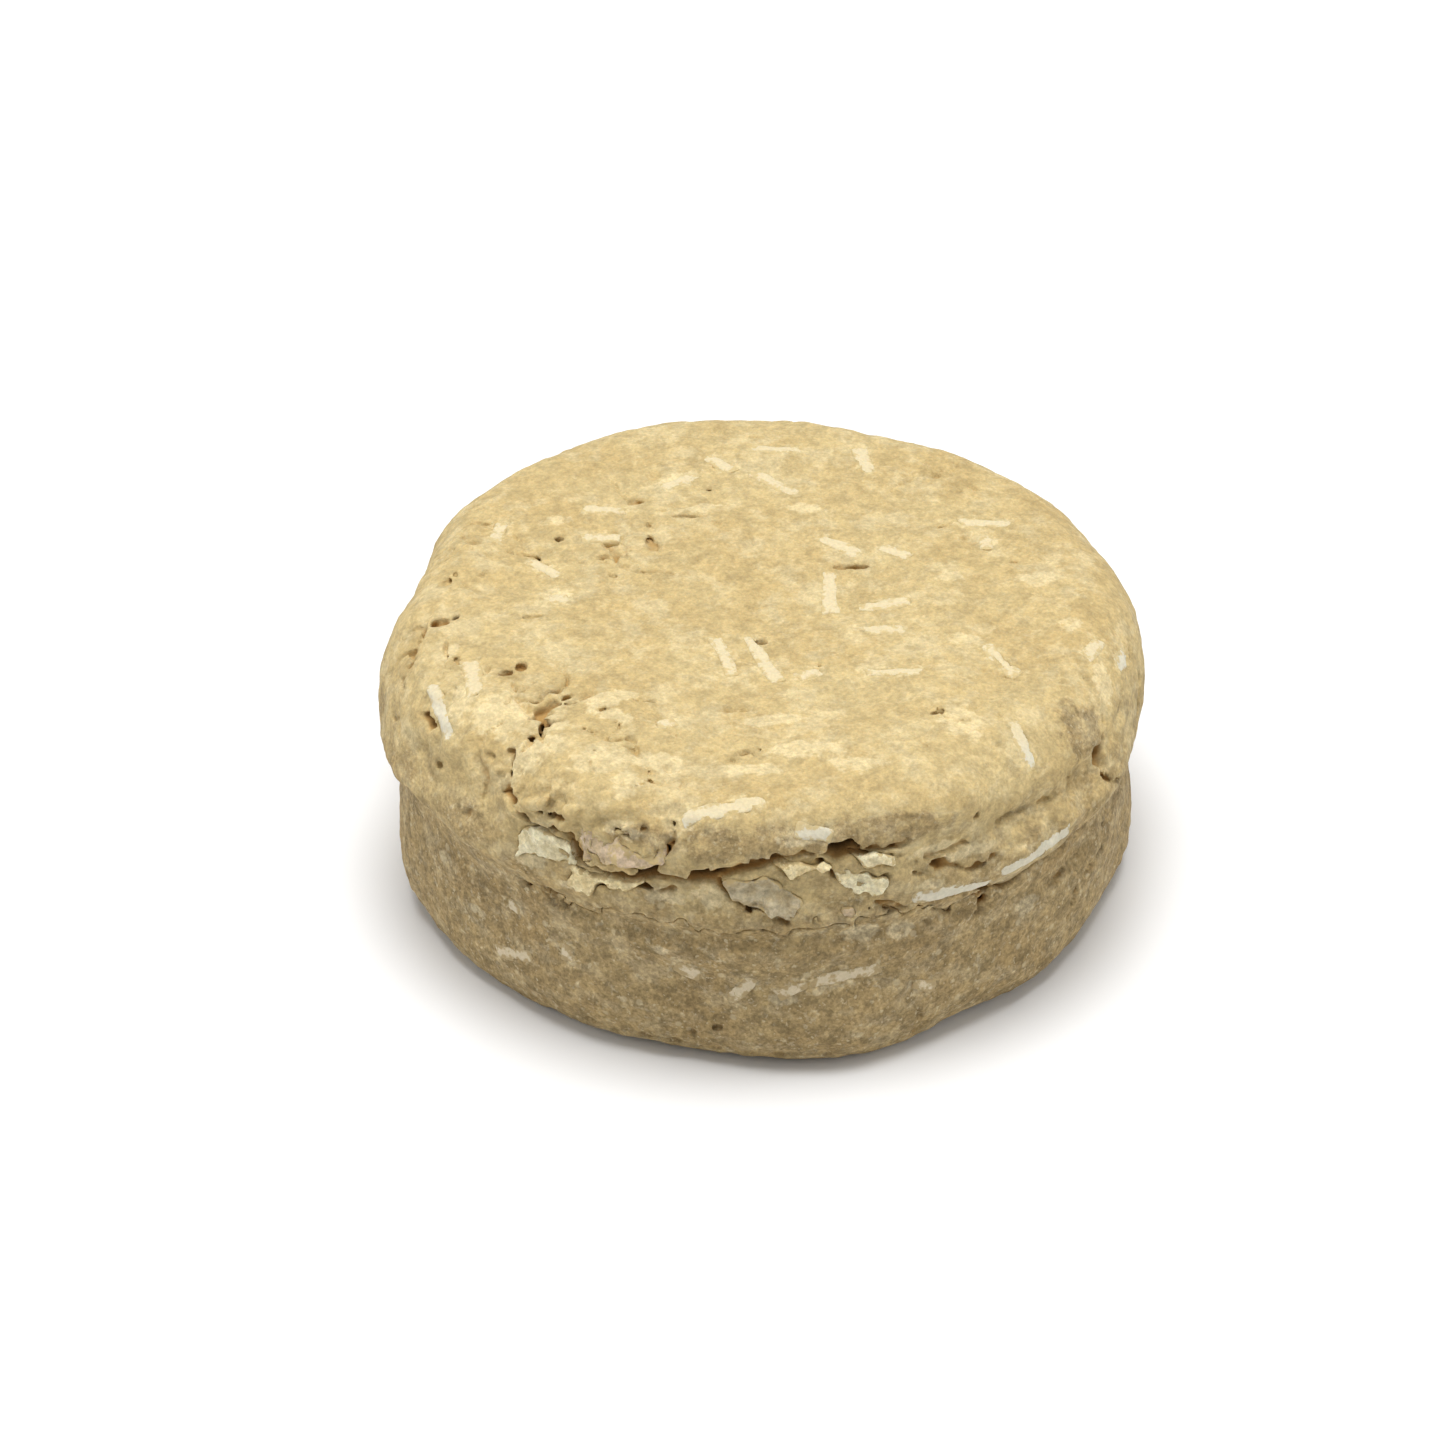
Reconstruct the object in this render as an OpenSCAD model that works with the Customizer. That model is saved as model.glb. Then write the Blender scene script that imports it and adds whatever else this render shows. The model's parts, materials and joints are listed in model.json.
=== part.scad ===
// Pressed soap puck: two lifts of soap paste with short soap noodles half sunk in every surface,
// and a ragged crack with loose flakes across the front of the rim.
// Millimetres, +Z up. The origin is the centre of the flat base. The front of the puck faces -Y.
// An angle goes anticlockwise from +X as seen from above, so the front is at -90.

/* [Puck] */
// Height from the flat base to the flat top
puck_h = 28; // [24:0.5:34]
// Diameter at the widest part of the rim
rim_d = 70.4; // [60:0.4:90]
// Diameter of the flat part of the top
top_flat_d = 57.6; // [48:0.4:58]
// Diameter of the flat base
base_flat_d = 61.6; // [54:0.4:66]
// Height of the seam between the two lifts
seam_z = 16; // [14:0.5:17]
// Height of the widest part of the rim
rim_z = 19.5; // [18.5:0.5:20.5]

/* [Edges] */
// How far the rim stands out beyond the lower wall
rim_overhang = 1.3; // [0.6:0.1:2]
// How far the lip's lower edge is tucked in under the rim
lip_tuck = 1.2; // [0.4:0.1:1.2]
// How far the lower wall is drawn in at the seam
waist_tuck = 0.3; // [0:0.1:0.6]
// Height of the rounded foot round the base
foot_h = 5; // [3:0.5:7]

/* [Noodles] */
// Diameter of a soap noodle
noodle_d = 1.5; // [1:0.1:1.6]
// Chamfer round a noodle's ends
noodle_chamfer = 0.3; // [0.1:0.05:0.3]
// How far below the surface a noodle's axis lies, as a share of its diameter
noodle_sink = 0.25; // [0.1:0.05:0.4]
// Number of noodles buried in each lift
inner_count = 24; // [6:1:24]

/* [Crack] */
// Width of the crack across the front
crack_w = 0.6; // [0.3:0.1:1]
// Depth of the crack, in from the rim
crack_depth = 3; // [1.5:0.5:4]
// Depth of the flakes, in from the rim
flake_depth = 2.4; // [1.2:0.2:3]

/* [Hidden] */
$fn = 32;
sides = 72;
rim_r = rim_d / 2;
top_flat_r = top_flat_d / 2;
base_flat_r = base_flat_d / 2;
wall_r = rim_r - rim_overhang;

// Swellings and hollows of the outline: [angle, half width in degrees, how far out].
rim_lumps = [
    [115, 40, 1.5], [70, 16, -0.9], [21, 14, -0.6], [168, 18, -1.8], [205, 30, 0.3], [345, 25, -0.5]
];
wall_lumps = [[282, 22, 1.4], [240, 14, 0.4], [5, 22, 0.7], [178, 16, -0.9], [198, 10, 0.5]];
// The heights between which the wall's lumps give way to the rim's.
lumps_from = 8;
lumps_to = 18;

// Noodles in the flat top: [x, y, length, yaw].
top_noodles = [
    [-15, 9, 4, 0],
    [-15, 13.5, 4, 0],
    [-24.5, 10, 3.5, 80],
    [-4, 22, 4, -45],
    [-8, 19, 4, 40],
    [-3.5, -10, 6.5, -75],
    [0, -10.5, 8, -70],
    [-25.6, -13.9, 6, -83],
    [1, 24.5, 5, 0],
    [9.5, 22.5, 5, -80],
    [1, 18.5, 5.5, -40],
    [7, 7.5, 4.5, -40],
    [6, 0, 6.5, 90],
    [12, 6.5, 3, -35],
    [11, -2, 5, 10],
    [10.5, -6, 4.5, 0],
    [20.5, 12, 5, 0],
    [20.5, 8.5, 2.5, 90],
    [4, -13, 2.5, 20],
    [11.5, -13, 5.5, 0],
    [21, -11, 5.5, -60],
    [-8.5, -21, 2, 20],
    [-18.5, -1, 2, 0],
    [-20, 4, 3.5, -40]
];
// Noodles in the shoulder and the rim: [angle, z, length, tilt from level].
rim_noodles = [
    [-96, 26.5, 7.5, 20],
    [-150, 26.5, 6.5, -20],
    [-45, 27, 5, 78],
    [-16, 27.5, 3.5, -10],
    [-13, 25.5, 3, -10],
    [-83, 25.5, 3.5, -14],
    [-62, 17.5, 8, -8],
    [-48, 18.5, 8, 10]
];
// Noodles in the lower wall: [angle, z, length, tilt from level].
side_noodles = [
    [-93, 9.5, 3.5, 50],
    [-78, 10.5, 6, 5],
    [-86, 9.5, 3, 20],
    [-101, 11, 2.5, -20],
    [-120.5, 9.5, 2, -85],
    [-131, 6.5, 5, 20],
    [-66, 7.5, 2.5, -30],
    [-131, 11.5, 1.8, 0]
];
// Noodles in the back of the wall: how many, the first angle, and the angle from one to the next.
back_count = 9;
back_from = 14;
back_step = 19;
base_count = 12;

// The route of the crack: [angle, z].
crack_route = [
    [-137, 22],
    [-131, 24],
    [-126, 23],
    [-119.5, 24],
    [-117, 23.5],
    [-116.5, 21],
    [-111, 21],
    [-107, 21.2],
    [-105, 22.3],
    [-101, 21.3],
    [-93, 23],
    [-88, 23.7],
    [-80, 24.3],
    [-75, 24.3]
];

function two_digits(n) = str(n < 10 ? "0" : "", n);
function names(stem, list) = [for (i = [1:len(list)]) str(stem, two_digits(i))];
top_names = names("top_noodle_", top_noodles);
rim_names = names("rim_noodle_", rim_noodles);
side_names = names("side_noodle_", side_noodles);

// Angle between two directions, from 0 to 180.
function apart(a, b) = let (d = abs(a - b) % 360) min(d, 360 - d);
function lump(l, a) = apart(a, l[0]) < l[1] ? l[2] * (1 + cos(180 * apart(a, l[0]) / l[1])) / 2 : 0;
function lump_sum(lumps, a, i = 0) = i == len(lumps) ? 0 : lump(lumps[i], a) + lump_sum(lumps, a, i + 1);
function eased(x) = let (t = min(1, max(0, x))) t * t * (3 - 2 * t);

// Radius of the plain puck at height z: a rounded foot, a drawn-in waist, the lip and the shoulder.
function foot_r(z) = base_flat_r + (wall_r - base_flat_r) * sqrt(1 - pow(1 - z / foot_h, 2));
function waist_r(z) = wall_r - waist_tuck * eased((z - foot_h) / (seam_z - foot_h));
function lip_r(z) = rim_r - lip_tuck * (1 - sin(90 * (z - seam_z) / (rim_z - seam_z)));
function shoulder_lift(z) = min(1, (z - rim_z) / (puck_h - rim_z));
function shoulder_r(z) = top_flat_r + (rim_r - top_flat_r) * sqrt(1 - pow(shoulder_lift(z), 2));
function lower_r(z) = z < foot_h ? foot_r(z) : waist_r(z);
function upper_r(z) = z < rim_z ? lip_r(z) : shoulder_r(z);

// Radius of the lumpy puck at an angle and a height.
function rim_share(z) = eased((z - lumps_from) / (lumps_to - lumps_from));
function lumps_r(a, z) =
    rim_share(z) * lump_sum(rim_lumps, a) + (1 - rim_share(z)) * lump_sum(wall_lumps, a);
function surface_r(a, z) = lumps_r(a, z) + (z < seam_z ? lower_r(z) : upper_r(z));

// Lean of the surface at height z: 0 on the wall, rising towards 90 where the shoulder meets the top.
function lean(z) = z <= rim_z ? 0 : atan2(shoulder_lift(z) / (puck_h - rim_z),
    sqrt(1 - pow(shoulder_lift(z), 2)) / (rim_r - top_flat_r));

foot_levels = [for (t = [0:18:90]) foot_h * (1 - cos(t))];
waist_levels = [for (s = [0.25:0.25:1]) foot_h + s * (seam_z - foot_h)];
lip_levels = [for (s = [0:0.25:1]) seam_z + s * (rim_z - seam_z)];
shoulder_levels = [for (t = [15:15:90]) rim_z + (puck_h - rim_z) * sin(t)];

// A solid skinned over one ring of points at each level. Its flat ends are single faces.
module lift(rings) {
    n = len(rings[0]);
    last = (len(rings) - 1) * n;
    walls = [
        for (k = [0:len(rings) - 2])
            for (i = [0:n - 1])
                let (a = k * n + i, b = k * n + (i + 1) % n)
                    each [[a, a + n, b], [b, a + n, b + n]]
    ];
    bottom = [for (i = [0:n - 1]) i];
    top = [for (i = [n - 1:-1:0]) last + i];
    polyhedron([for (r = rings) each r], concat([bottom, top], walls), convexity = 4);
}

function ring(z, upper) = [
    for (i = [0:sides - 1])
        let (a = i * 360 / sides, r = lumps_r(a, z) + (upper ? upper_r(z) : lower_r(z)))
            [r * cos(a), r * sin(a), z]
];

// A rod along X with chamfered ends, turned from one profile.
module rod(length, d = noodle_d) {
    r = d / 2;
    c = noodle_chamfer;
    rotate([0, 90, 0])
        translate([0, 0, -length / 2])
            rotate_extrude()
                polygon([[0, 0], [r - c, 0], [r, c], [r, length - c], [r - c, length], [0, length]]);
}

module top_noodle(n) {
    translate([n[0], n[1], puck_h - noodle_sink * noodle_d])
        rotate([0, 0, n[3]])
            rod(n[2]);
}

// A noodle lying in the wall or the shoulder, square to the surface there.
module wall_noodle(n) {
    rotate([0, 0, n[0]])
        translate([surface_r(n[0], n[1]), 0, n[1]])
            rotate([0, -lean(n[1]), 0])
                translate([-noodle_sink * noodle_d, 0, 0])
                    rotate([n[3], 0, 0])
                        rotate([0, 0, 90])
                            rod(n[2]);
}

module back_rods() {
    for (i = [0:back_count - 1])
        wall_noodle([back_from + i * back_step, 4.5 + (i * 5) % 9, 4 + i % 3, (i * 50) % 140 - 70]);
    for (i = [0:back_count - 1])
        wall_noodle([
            back_from + back_step / 2 + i * back_step, 19.5 + (i * 3) % 5,
            4 + (i + 1) % 3, (i * 35) % 60 - 30
        ]);
}

// Spirals out by the golden angle, so the rods are spread evenly over a disc.
module spread(count, radius, z, z_step) {
    for (i = [0:count - 1]) {
        a = i * 137.5;
        r = radius * sqrt((i + 0.5) / count);
        translate([r * cos(a), r * sin(a), z + (i % 3) * z_step])
            rotate([0, 0, i * 70])
                rod(4 + i % 3);
    }
}

module base_rods() {
    intersection() {
        spread(base_count, base_flat_r - 5, noodle_sink * noodle_d, 0);
        translate([-rim_r, -rim_r, 0])
            cube([rim_d, rim_d, noodle_d]);
    }
}

module inner_rods_top() {
    spread(inner_count, top_flat_r - 4, seam_z + 3, 2.5);
}

module inner_rods_base() {
    spread(inner_count, base_flat_r - 5, 5, 3);
}

// A flat flake standing in the front of the rim, square to the surface. Its outline is [along the rim, up].
module flake(a, z, outline, proud = 0) {
    rotate([0, 0, a])
        translate([surface_r(a, z), 0, z])
            rotate([0, -lean(z), 0])
                translate([proud - flake_depth, 0, 0])
                    rotate([90, 0, 90])
                        linear_extrude(flake_depth)
                            polygon(outline);
}

module cream_chunk_shape() {
    flake(-122.5, 21.6, [[-2.9, 0.5], [-0.7, 1.5], [2.7, 1], [3, -1], [0.6, -1.3], [-2.7, -1.9]], 0.1);
}

module pinkish_block_shape() {
    flake(-109.5, 23.2, [[-4.2, 1.5], [-1, 2.3], [3.5, 1.9], [3.8, 0.1], [1.9, -0.8], [-4, -1.9]], 0.1);
}

module yellow_ledge_shape() {
    flake(-113, 19.4, [[-3, 0.5], [1.1, 1], [3.6, 1.2], [2.4, 0], [-1.2, -1.5], [-3, -1.3]], 0.3);
}

module grey_flake_shape() {
    flake(-90, 20.3, [[-3.2, 1.2], [-0.2, 1.6], [1.4, 1.1], [3, -0.6], [2.2, -2.4], [-2.8, -0.6]], 0.1);
}

module peeled_flake_shape() {
    flake(-84.5, 22.7, [[-2.4, 0.8], [2.6, 0.5], [2.7, -0.1], [0.2, -0.4], [-1.2, -1]], 0.4);
}

module cream_block_shape() {
    flake(-75.3, 20.6, [[-2.5, 1.4], [0, 1.2], [2.2, 0], [2.3, -1.8], [0.3, -1.4], [-2.2, 0.4]], 0.3);
}

module upper_crumb_shape() {
    flake(-74, 22.9, [[-2, 0.8], [0.2, 0.7], [1.5, 0.1], [1.3, -0.6], [-1, -0.5]], 0.3);
}

module lower_crumb_shape() {
    flake(-78, 17.5, [[-0.8, 0.8], [0.4, 0.7], [0.9, -0.2], [0.3, -0.9], [-0.7, -0.5]], 0.2);
}

module all_flakes() {
    cream_chunk_shape();
    pinkish_block_shape();
    yellow_ledge_shape();
    grey_flake_shape();
    peeled_flake_shape();
    cream_block_shape();
    upper_crumb_shape();
    lower_crumb_shape();
}

function on_rim(p) = let (r = surface_r(p[0], p[1])) [r * cos(p[0]), r * sin(p[0]), p[1]];

// A slot as deep as the crack, from one point of its route to the next.
module crack_slot(p, q) {
    from = on_rim(p);
    to = on_rim(q);
    run = norm([to[0] - from[0], to[1] - from[1]]);
    heading = atan2(to[1] - from[1], to[0] - from[0]);
    climb = atan2(to[2] - from[2], run);
    translate(from)
        rotate([0, 0, heading])
            rotate([0, -climb, 0])
                translate([-crack_w / 2, -crack_depth, -crack_w / 2])
                    cube([norm([run, to[2] - from[2]]) + crack_w, 2 * crack_depth, crack_w]);
}

module crack() {
    for (i = [0:len(crack_route) - 2])
        crack_slot(crack_route[i], crack_route[i + 1]);
}

module base_layer() {
    color([0.74, 0.65, 0.46])
        difference() {
            lift([for (z = concat(foot_levels, waist_levels)) ring(z, false)]);
            for (n = side_noodles)
                wall_noodle(n);
            back_rods();
            base_rods();
            inner_rods_base();
        }
}

module top_layer() {
    color([0.88, 0.79, 0.58])
        difference() {
            lift([for (z = concat(lip_levels, shoulder_levels)) ring(z, true)]);
            for (n = top_noodles)
                top_noodle(n);
            for (n = rim_noodles)
                wall_noodle(n);
            back_rods();
            inner_rods_top();
            all_flakes();
            crack();
        }
}

module cream_chunk() { color([0.9, 0.85, 0.72]) cream_chunk_shape(); }
module pinkish_block() { color([0.78, 0.68, 0.6]) pinkish_block_shape(); }
module yellow_ledge() { color([0.88, 0.77, 0.5]) yellow_ledge_shape(); }
module grey_flake() { color([0.8, 0.76, 0.68]) grey_flake_shape(); }
module peeled_flake() { color([0.93, 0.84, 0.6]) peeled_flake_shape(); }
module cream_block() { color([0.92, 0.88, 0.76]) cream_block_shape(); }
module upper_crumb() { color([0.9, 0.87, 0.78]) upper_crumb_shape(); }
module lower_crumb() { color([0.76, 0.66, 0.58]) lower_crumb_shape(); }

module noodle_colour() {
    color([0.94, 0.91, 0.82]) children();
}

base_layer();
top_layer();
cream_chunk();
pinkish_block();
yellow_ledge();
grey_flake();
peeled_flake();
cream_block();
upper_crumb();
lower_crumb();
for (i = [0:len(top_noodles) - 1])
    noodle_colour() top_noodle(top_noodles[i]);
for (i = [0:len(rim_noodles) - 1])
    noodle_colour() wall_noodle(rim_noodles[i]);
for (i = [0:len(side_noodles) - 1])
    noodle_colour() wall_noodle(side_noodles[i]);
noodle_colour() back_rods();  // back_noodles
noodle_colour() base_rods();  // base_noodles
noodle_colour() inner_rods_top();  // inner_noodles_top
noodle_colour() inner_rods_base();  // inner_noodles_base
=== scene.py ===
"""Looks of the pressed soap puck: two lifts of paste sculpted as clay on a fine grid round the CAD frame,
and every noodle and flake sculpted in its CAD place and pressed flush with them."""
import functools
import json
import math

import bpy
import numpy as np
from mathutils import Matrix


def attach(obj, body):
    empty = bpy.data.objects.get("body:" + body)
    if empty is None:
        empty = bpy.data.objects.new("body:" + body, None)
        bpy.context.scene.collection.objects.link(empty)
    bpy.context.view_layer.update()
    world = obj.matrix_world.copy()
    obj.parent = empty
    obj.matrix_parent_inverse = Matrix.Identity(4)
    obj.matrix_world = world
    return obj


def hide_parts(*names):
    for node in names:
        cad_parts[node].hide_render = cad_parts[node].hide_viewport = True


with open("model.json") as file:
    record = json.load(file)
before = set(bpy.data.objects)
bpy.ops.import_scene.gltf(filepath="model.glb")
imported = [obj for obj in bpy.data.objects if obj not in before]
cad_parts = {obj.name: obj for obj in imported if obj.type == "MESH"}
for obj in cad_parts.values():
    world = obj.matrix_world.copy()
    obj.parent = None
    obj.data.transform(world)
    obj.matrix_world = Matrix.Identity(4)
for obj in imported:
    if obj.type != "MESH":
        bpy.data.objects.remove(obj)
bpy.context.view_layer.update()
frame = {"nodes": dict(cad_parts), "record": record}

import openvdb
from mathutils import Vector

MM = 0.001
BODY = "root"
NODES = frame["nodes"]
SLOTS = {s["node"]: s["material_slot"] for s in frame["record"]["subparts"]}

# ---------------------------------------------------------------- noise and clay

# Every noise lattice spans this block, in mm, so that noise runs on from one piece to the next.
LATTICE_LOW = np.array([-44.0, -44.0, -8.0])
LATTICE_HIGH = np.array([44.0, 44.0, 40.0])
# A cubic spline through random values has about this spread, which the noise is divided by.
SPLINE_SPREAD = 0.33


def spline_weights(at, size, start, count):
    """Cubic spline weights, one row for each position in at and one column for each lattice value."""
    t = (at - start) / size
    cell = np.floor(t).astype(int)
    f = t - cell
    rows = np.arange(len(at))
    weights = np.zeros((len(at), count), np.float32)
    taps = ((1 - f) ** 3, 3 * f**3 - 6 * f**2 + 4, -3 * f**3 + 3 * f**2 + 3 * f + 1, f**3)
    for k, tap in enumerate(taps):
        weights[rows, np.clip(cell + k, 0, count - 1)] = tap / 6
    return weights


class Clay:
    """Signed distances in mm on a cubic grid, negative inside the solid."""

    def __init__(self, low, high, voxel):
        self.voxel = voxel
        self.low = np.array(low, float)
        self.axes = [np.arange(lo, hi, voxel) for lo, hi in zip(low, high)]
        self.x = self.axes[0].astype(np.float32)[:, None, None]
        self.y = self.axes[1].astype(np.float32)[None, :, None]
        self.z = self.axes[2].astype(np.float32)[None, None, :]
        self.shape = tuple(len(a) for a in self.axes)
        self.d = np.zeros(self.shape, np.float32)
        self.skin = self.d

    def keep_skin(self):
        """Remembers the face as it is now, before cracks, pits and sockets are dug into it."""
        self.skin = self.d.copy()

    def noise(self, size, seed):
        """Smooth noise of mean 0 and spread 1, with features size mm across. size may be (x, y, z)."""
        size = np.broadcast_to(np.array(size, float), 3)
        counts = np.ceil((LATTICE_HIGH - LATTICE_LOW) / size).astype(int) + 4
        values = np.random.default_rng(seed).standard_normal(counts).astype(np.float32)
        spans = zip(self.axes, size, LATTICE_LOW, counts)
        wx, wy, wz = (spline_weights(*span) for span in spans)
        return np.einsum("ai,bj,ck,ijk->abc", wx, wy, wz, values, optimize=True) / SPLINE_SPREAD

    @functools.cached_property
    def ragged(self):
        """Crumbs with sharp creases between them, which break the edges of whatever is dug."""
        return np.abs(self.noise(1.2, 17)) - 0.8 + 0.5 * self.noise(0.55, 19)

    @functools.cached_property
    def wobble(self):
        """How far a crack strays from its route, in mm."""
        return 0.5 * self.noise(2.2, 21)

    def window(self, centre, reach):
        """The part of the grid within reach mm of centre: its slices, and its x, y and z."""
        cuts = []
        for k in range(3):
            first = int(np.searchsorted(self.axes[k], centre[k] - reach))
            last = int(np.searchsorted(self.axes[k], centre[k] + reach))
            cuts.append(slice(first, max(last, first)))
        cuts = tuple(cuts)
        return cuts, self.x[cuts[0]], self.y[:, cuts[1]], self.z[:, :, cuts[2]]

    def at(self, values, points):
        """values, an array on the grid, read at points in mm between its cells."""
        t = np.clip((points - self.low) / self.voxel, 0, np.array(self.shape) - 1.001)
        cell = np.floor(t).astype(int)
        f = t - cell
        out = np.zeros(len(points), np.float32)
        for dx in (0, 1):
            for dy in (0, 1):
                for dz in (0, 1):
                    share = np.abs(1 - dx - f[:, 0]) * np.abs(1 - dy - f[:, 1]) * np.abs(1 - dz - f[:, 2])
                    out += share * values[cell[:, 0] + dx, cell[:, 1] + dy, cell[:, 2] + dz]
        return out

    def way_out(self, point):
        """The direction out of the clay, square to its skin near a point."""
        steps = np.eye(3)
        slope = self.at(self.skin, point + steps) - self.at(self.skin, point - steps)
        return slope / np.linalg.norm(slope)

    def surface(self):
        """The clay's face: its points in mm, its triangles and its quads."""
        grid = openvdb.FloatGrid()
        grid.background = 3 * self.voxel
        grid.copyFromArray(np.ascontiguousarray(self.d, np.float32))
        points, triangles, quads = grid.convertToPolygons(isovalue=0.0, adaptivity=0.0)
        faces = ((triangles, 3), (quads, 4))
        flipped = [f.reshape(-1, corners)[:, ::-1].astype(np.int32) for f, corners in faces]
        return points * self.voxel + self.low, *flipped


def cell_points(x, y, z):
    """The places of a grid's cells, one row of x, y and z for each."""
    return np.stack([a.ravel() for a in np.broadcast_arrays(x, y, z)], axis=1)


def soft_max(a, b, k):
    """The larger of a and b, with a fillet of about k mm where they meet."""
    h = np.clip(0.5 + 0.5 * (a - b) / k, 0, 1)
    return b + (a - b) * h + k * h * (1 - h)


def eased(x):
    t = np.clip(x, 0, 1)
    return t * t * (3 - 2 * t)


# ---------------------------------------------------------------- meshes

# The most triangles that one piece may have.
MOST_TRIANGLES = 190_000


def joined(parts):
    """One (points, triangles, quads) from several."""
    starts = np.cumsum([0] + [len(points) for points, _, _ in parts])
    points = np.concatenate([p for p, _, _ in parts])
    triangles = np.concatenate([t + s for (_, t, _), s in zip(parts, starts)])
    quads = np.concatenate([q + s for (_, _, q), s in zip(parts, starts)])
    return points, triangles, quads


def add_object(name, mesh):
    obj = bpy.data.objects.new(name, mesh)
    bpy.context.scene.collection.objects.link(obj)
    return obj


def surface_object(name, surface):
    """A smooth-shaded object from (points in mm, triangles, quads)."""
    points, triangles, quads = surface
    corners = np.concatenate([triangles.ravel(), quads.ravel()])
    sizes = np.repeat([3, 4], [len(triangles), len(quads)])
    mesh = bpy.data.meshes.new(name)
    mesh.vertices.add(len(points))
    mesh.vertices.foreach_set("co", (points * MM).astype(np.float32).ravel())
    mesh.loops.add(len(corners))
    mesh.loops.foreach_set("vertex_index", corners)
    mesh.polygons.add(len(sizes))
    mesh.polygons.foreach_set("loop_start", np.cumsum(sizes) - sizes)
    mesh.update(calc_edges=True)
    mesh.validate()
    mesh.shade_smooth()
    return add_object(name, mesh)


def thin(obj):
    """Takes triangles away, most where the object is flat, until it has no more than MOST_TRIANGLES."""
    triangles = sum(len(p.vertices) - 2 for p in obj.data.polygons)
    if triangles > MOST_TRIANGLES:
        fewer = obj.modifiers.new("fewer", "DECIMATE")
        fewer.ratio = MOST_TRIANGLES / triangles
        settled = bpy.data.meshes.new_from_object(obj.evaluated_get(bpy.context.evaluated_depsgraph_get()))
        obj.modifiers.clear()
        obj.data = settled
        settled.name = obj.name
        settled.shade_smooth()


def vertex_points(mesh):
    """The mesh's vertices in mm."""
    flat = np.empty(len(mesh.vertices) * 3)
    mesh.vertices.foreach_get("co", flat)
    return flat.reshape(-1, 3) / MM


def set_attribute(mesh, name, values):
    layer = mesh.attributes.new(name, "FLOAT", "POINT")
    layer.data.foreach_set("value", np.asarray(values, np.float32))


def stands_for(obj, node, look):
    """Gives a sculpted object its material and puts it in the place of its CAD node."""
    obj.data.materials.append(look)
    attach(obj, BODY)
    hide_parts(node)


# ---------------------------------------------------------------- the frame's sizes

TOP = NODES["top_layer"].data
BASE = NODES["base_layer"].data
BIN = 5.0
RIM_Z = 19.5
FOOT_H = 5.0


def cad_ring(mesh, z):
    """Radius of a CAD lift's outline at height z, as a function of the angle in degrees."""
    points = vertex_points(mesh)
    points = points[np.abs(points[:, 2] - z) < 0.02]
    angles = np.degrees(np.arctan2(points[:, 1], points[:, 0])) % 360
    radii = np.hypot(points[:, 0], points[:, 1])
    bins = np.round(angles / BIN).astype(int) % int(360 / BIN)
    widest = np.zeros(int(360 / BIN))
    np.maximum.at(widest, bins, radii)
    centres = np.arange(0, 360, BIN)
    known = widest > 0.9 * widest.max()
    return lambda a: np.interp(a, centres[known], widest[known], period=360).astype(np.float32)


PUCK_H = float(vertex_points(TOP)[:, 2].max())
SEAM_Z = float(vertex_points(TOP)[:, 2].min())
top_flat_r = cad_ring(TOP, PUCK_H)
rim_r = cad_ring(TOP, RIM_Z)
lip_r = cad_ring(TOP, SEAM_Z)
waist_r = cad_ring(BASE, SEAM_Z)
wall_r = cad_ring(BASE, FOOT_H)
base_r = cad_ring(BASE, 0.0)


def cad_rods(node):
    """The rods of a CAD noodle node in mm: for each, its middle, its axis, half its length and its radius."""
    mesh = NODES[node].data
    points = vertex_points(mesh)
    _, weld = np.unique(np.round(points / 0.002).astype(np.int64), axis=0, return_inverse=True)
    weld = weld.ravel()
    group = np.arange(weld.max() + 1)
    edges = np.array([[weld[v] for v in e.vertices] for e in mesh.edges])
    while True:
        lower = group.copy()
        np.minimum.at(lower, edges[:, 0], group[edges[:, 1]])
        np.minimum.at(lower, edges[:, 1], group[edges[:, 0]])
        if (lower == group).all():
            break
        group = lower
    labels = group[weld]
    rods = []
    for label in np.unique(labels):
        own = points[labels == label]
        middle = (own.max(axis=0) + own.min(axis=0)) / 2
        axis = np.linalg.svd(own - own.mean(axis=0))[2][0]
        along = (own - middle) @ axis
        middle = middle + axis * (along.max() + along.min()) / 2
        off = np.linalg.norm((own - middle) - np.outer((own - middle) @ axis, axis), axis=1)
        rods.append((middle, axis, (along.max() - along.min()) / 2, off.max()))
    return rods


# ---------------------------------------------------------------- what the hand shapes
# Angles are in degrees, anticlockwise from +X as seen from above, so the cracked front is at -90.
# All lengths are in mm.

VOXEL = 0.25
ARC_R = 35.0
# Half the width of the block of clay that each lift is cut from.
BLOCK_HALF = 38
# How far a lift's block runs past the seam, and the fillet at the edges of what is dug.
SEAM_MARGIN = 2.5
DUG_FILLET = 0.12

# The lip's lower edge: (angle, height).
SEAM_ROUTE = [(-170, 16.8), (-150, 17.6), (-142, 17.4), (-136, 16.4), (-128, 15), (-110, 16.2), (-90, 16.6),
              (-72, 16.6), (-56, 15), (-40, 15), (-28, 15.3), (0, 16), (60, 16.4), (120, 15.7)]

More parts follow.
